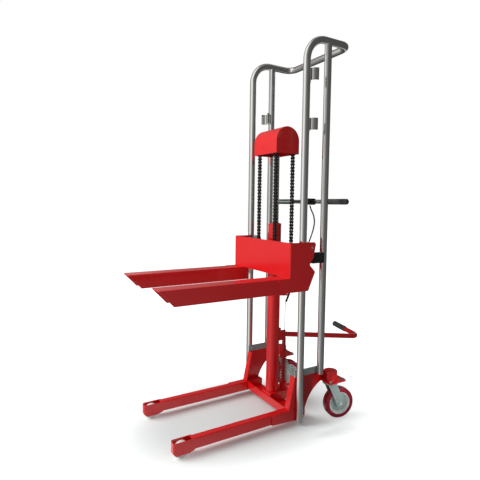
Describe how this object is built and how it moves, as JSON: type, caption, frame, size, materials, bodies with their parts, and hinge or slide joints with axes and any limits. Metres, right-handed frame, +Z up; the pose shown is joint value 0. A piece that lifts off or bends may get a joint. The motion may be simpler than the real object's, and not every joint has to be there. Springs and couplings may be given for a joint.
{
  "type": "hand pallet stacker",
  "caption": "red hand pallet stacker with a bent chrome tube mast, foot pump, chain lift and two forks",
  "frame": {"origin": "on the floor, under the middle of the whole truck's box", "axes": "+Z up; the forks point towards -Y; +X is the operator's left"},
  "size_m": [0.5798, 1.2354, 1.831],
  "materials": {
    "red_paint": "gloss",
    "chrome": "polished",
    "zinc": "satin",
    "black_steel": "oiled",
    "spring_steel": "satin",
    "cast_iron": "machined",
    "white_nylon": "satin",
    "black_plastic": "satin",
    "black_rubber": "matte",
    "red_tyre": "satin"
  },
  "bodies": {
    "chassis": {"mast_hoop": "chrome", "rear_tube_left": "chrome", "rear_tube_right": "chrome", "guard_clips": "chrome", "tie_strips": "zinc", "side_plate_left": "red_paint", "side_plate_right": "red_paint", "leg_left": "red_paint", "leg_right": "red_paint", "roller_housing_left": "red_paint", "roller_housing_right": "red_paint", "roller_axles": "zinc", "cross_beam": "red_paint", "caster_mount_left": "red_paint", "caster_mount_right": "red_paint", "lift_cylinder": "red_paint", "pump_block": "red_paint", "pedal_bracket": "red_paint", "rear_anchor": "red_paint", "handle_bar": "chrome", "handle_brackets": "zinc", "grip_left": "black_rubber", "grip_right": "black_rubber", "release_clamp": "black_plastic", "release_cable": "black_plastic", "cable_ferrule": "black_plastic", "cable_stay": "red_paint", "rear_chains": "black_steel", "pump_spring": "spring_steel"},
    "ram": {"ram_rod": "chrome", "head_block": "red_paint", "head_axle": "zinc", "head_cover": "red_paint", "chain_wraps": "black_steel", "front_chains": "black_steel"},
    "carriage": {"carriage_frame": "red_paint", "fork_left": "red_paint", "fork_right": "red_paint", "cross_bar": "red_paint", "guide_shoes": "black_plastic", "guide_axles": "zinc"},
    "pedal": {"pedal_arm": "red_paint", "pedal_sleeve": "black_rubber"},
    "plunger": {"plunger": "red_paint"},
    "release_lever": {"release_lever": "black_plastic"},
    "pulley_left": {"pulley_left": "cast_iron"},
    "guide_roller_upper_left": {"guide_roller_upper_left": "white_nylon"},
    "guide_roller_lower_left": {"guide_roller_lower_left": "white_nylon"},
    "front_roller_left": {"front_roller_left": "white_nylon"},
    "caster_swivel_left": {"caster_fork_left": "zinc"},
    "caster_wheel_left": {"caster_hub_left": "zinc", "caster_tyre_left": "red_tyre"},
    "pulley_right": {"pulley_right": "cast_iron"},
    "guide_roller_upper_right": {"guide_roller_upper_right": "white_nylon"},
    "guide_roller_lower_right": {"guide_roller_lower_right": "white_nylon"},
    "front_roller_right": {"front_roller_right": "white_nylon"},
    "caster_swivel_right": {"caster_fork_right": "zinc"},
    "caster_wheel_right": {"caster_hub_right": "zinc", "caster_tyre_right": "red_tyre"}
  },
  "joints": [
    {"name": "ram_lift", "type": "slide", "parent": "chassis", "child": "ram", "axis": [0, 0, 1], "range_m": [-0.311, 0.242], "deforming": ["rear_chains"]},
    {"name": "carriage_lift", "type": "slide", "parent": "ram", "child": "carriage", "axis": [0, 0, 1], "range_m": [-0.312, 0.243], "deforming": ["front_chains"]},
    {"name": "pedal_press", "type": "hinge", "parent": "chassis", "child": "pedal", "pos_m": [0, 0.13825, 0.374], "axis": [-1, 0, 0], "range_deg": [0, 25], "stiffness_Nm_per_rad": 20, "springref_deg": -34.38},
    {"name": "plunger_stroke", "type": "slide", "parent": "chassis", "child": "plunger", "axis": [0, 0, -1], "range_m": [0, 0.0145], "deforming": ["pump_spring"]},
    {"name": "release_squeeze", "type": "hinge", "parent": "chassis", "child": "release_lever", "pos_m": [0.036, 0.27325, 1.069], "axis": [0, 0, -1], "range_deg": [0, 10], "stiffness_Nm_per_rad": 1, "springref_deg": -17.19},
    {"name": "pulley_spin_left", "type": "hinge", "parent": "ram", "child": "pulley_left", "pos_m": [0.071, 0.08825, 1.362], "axis": [-1, 0, 0], "continuous": true},
    {"name": "guide_spin_upper_left", "type": "hinge", "parent": "carriage", "child": "guide_roller_upper_left", "pos_m": [0.228, 0.12555, 0.853], "axis": [-1, 0, 0], "continuous": true},
    {"name": "guide_spin_lower_left", "type": "hinge", "parent": "carriage", "child": "guide_roller_lower_left", "pos_m": [0.228, 0.05095, 0.688], "axis": [1, 0, 0], "continuous": true},
    {"name": "front_roll_left", "type": "hinge", "parent": "chassis", "child": "front_roller_left", "pos_m": [0.1878, -0.50025, 0.033], "axis": [1, 0, 0], "continuous": true},
    {"name": "caster_turn_left", "type": "hinge", "parent": "chassis", "child": "caster_swivel_left", "pos_m": [0.244, 0.26625, 0], "axis": [0, 0, 1], "continuous": true},
    {"name": "caster_roll_left", "type": "hinge", "parent": "caster_swivel_left", "child": "caster_wheel_left", "pos_m": [0.25489, 0.30991, 0.076], "axis": [0.9703, -0.2419, 0], "continuous": true},
    {"name": "pulley_spin_right", "type": "hinge", "parent": "ram", "child": "pulley_right", "pos_m": [-0.071, 0.08825, 1.362], "axis": [-1, 0, 0], "continuous": true},
    {"name": "guide_spin_upper_right", "type": "hinge", "parent": "carriage", "child": "guide_roller_upper_right", "pos_m": [-0.228, 0.12555, 0.853], "axis": [-1, 0, 0], "continuous": true},
    {"name": "guide_spin_lower_right", "type": "hinge", "parent": "carriage", "child": "guide_roller_lower_right", "pos_m": [-0.228, 0.05095, 0.688], "axis": [1, 0, 0], "continuous": true},
    {"name": "front_roll_right", "type": "hinge", "parent": "chassis", "child": "front_roller_right", "pos_m": [-0.1878, -0.50025, 0.033], "axis": [1, 0, 0], "continuous": true},
    {"name": "caster_turn_right", "type": "hinge", "parent": "chassis", "child": "caster_swivel_right", "pos_m": [-0.1716, 0.26625, 0], "axis": [0, 0, 1], "continuous": true},
    {"name": "caster_roll_right", "type": "hinge", "parent": "caster_swivel_right", "child": "caster_wheel_right", "pos_m": [-0.16071, 0.30991, 0.076], "axis": [0.9703, -0.2419, 0], "continuous": true}
  ],
  "couplings": [
    {"joint": "carriage_lift", "follows": "ram_lift", "ratio": 1},
    {"joint": "plunger_stroke", "follows": "pedal_press", "m_per_rad": 0.0325},
    {"joint": "pulley_spin_left", "follows": "ram_lift", "rad_per_m": 19.708},
    {"joint": "guide_spin_upper_left", "follows": "ram_lift", "rad_per_m": 98.522},
    {"joint": "guide_spin_lower_left", "follows": "ram_lift", "rad_per_m": 98.522},
    {"joint": "pulley_spin_right", "follows": "ram_lift", "rad_per_m": 19.708},
    {"joint": "guide_spin_upper_right", "follows": "ram_lift", "rad_per_m": 98.522},
    {"joint": "guide_spin_lower_right", "follows": "ram_lift", "rad_per_m": 98.522}
  ]
}
